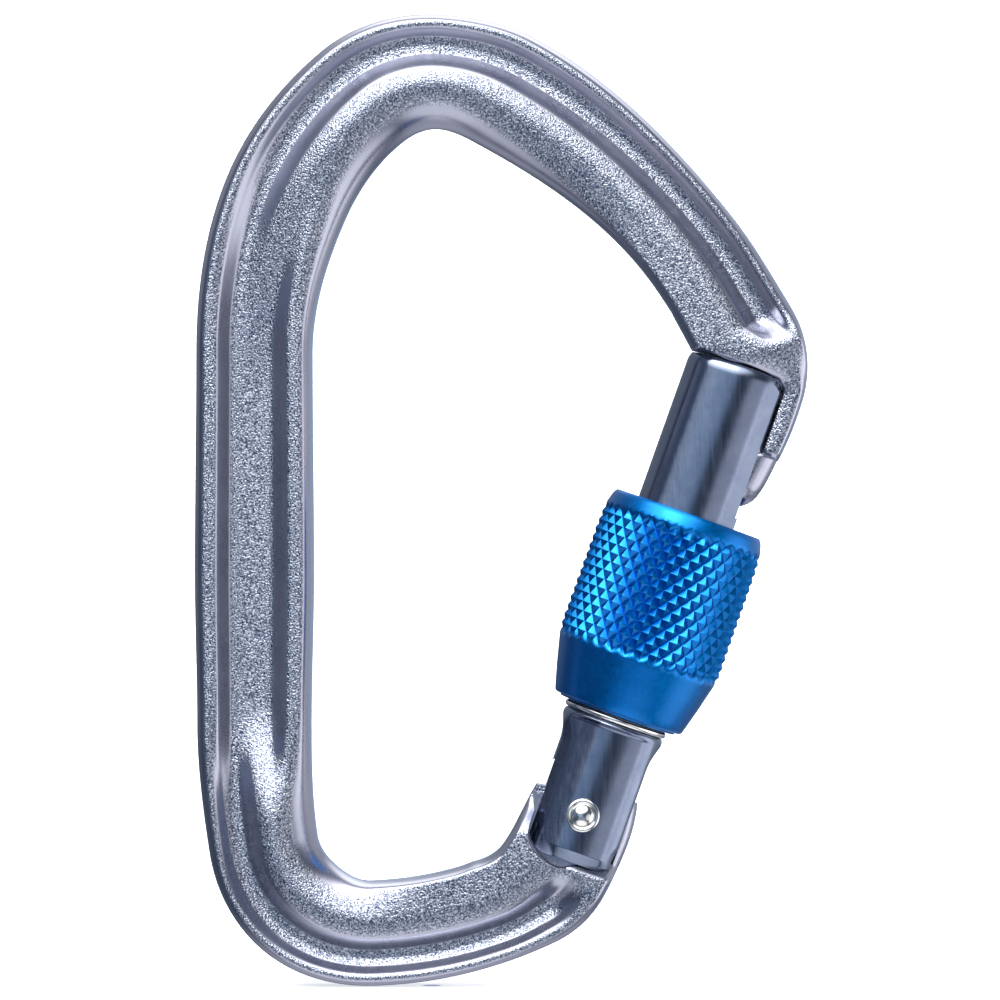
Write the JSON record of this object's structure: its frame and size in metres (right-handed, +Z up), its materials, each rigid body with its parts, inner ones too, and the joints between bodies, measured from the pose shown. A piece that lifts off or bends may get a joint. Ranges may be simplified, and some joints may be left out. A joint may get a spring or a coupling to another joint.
{
  "type": "locking carabiner",
  "caption": "Offset-D screw-gate carabiner with a hot-forged I-beam bow, a keylock nose, a sprung faceted gate and a knurled locking sleeve.",
  "frame": {"origin": "centre of the round rope seat in the top basket, on the mid-plane of the bow", "axes": "+Z up along the length of the bow, +Y through its thickness, +X from the spine towards the gate side"},
  "size_m": [0.0637, 0.0176, 0.1009],
  "materials": {
    "frame_anodised": "shot-blasted and anodised grey-blue",
    "gate_anodised": "satin-polished and anodised slate blue",
    "rivet_steel": "polished, heads formed cold",
    "spring_steel": "drawn wire",
    "plunger_steel": "turned",
    "sleeve_anodised": "knurled and anodised bright blue",
    "ring_steel": "bright spring wire"
  },
  "bodies": {
    "bow": {"frame": "frame_anodised"},
    "gate": {"gate": "gate_anodised", "gate_rivet": "rivet_steel", "gate_spring": "spring_steel"},
    "plunger": {"plunger": "plunger_steel"},
    "ring": {"retaining_ring": "ring_steel"},
    "sleeve": {"locking_sleeve": "sleeve_anodised"}
  },
  "joints": [
    {"name": "gate_hinge", "type": "hinge", "parent": "bow", "child": "gate", "pos_m": [0.0156, 0, -0.065], "axis": [0, -1, 0], "range_deg": [0, 27], "stiffness_Nm_per_rad": 0.2, "springref_deg": -57.3},
    {"name": "plunger_slide", "type": "slide", "parent": "gate", "child": "plunger", "axis": [0.3355, 0, 0.9421], "range_m": [0, 0.0009], "deforming": ["gate_spring"]},
    {"name": "sleeve_turn", "type": "hinge", "parent": "gate", "child": "ring", "pos_m": [0.01906, 0, -0.0553], "axis": [0.3355, 0, 0.9421], "range_deg": [0, 1440]},
    {"name": "sleeve_travel", "type": "slide", "parent": "ring", "child": "sleeve", "axis": [0.3355, 0, 0.9421], "range_m": [0, 0.008]}
  ],
  "couplings": [
    {"joint": "plunger_slide", "follows": "gate_hinge", "m_per_rad": 0.0019},
    {"joint": "sleeve_travel", "follows": "sleeve_turn", "m_per_rad": 0.0003183}
  ]
}
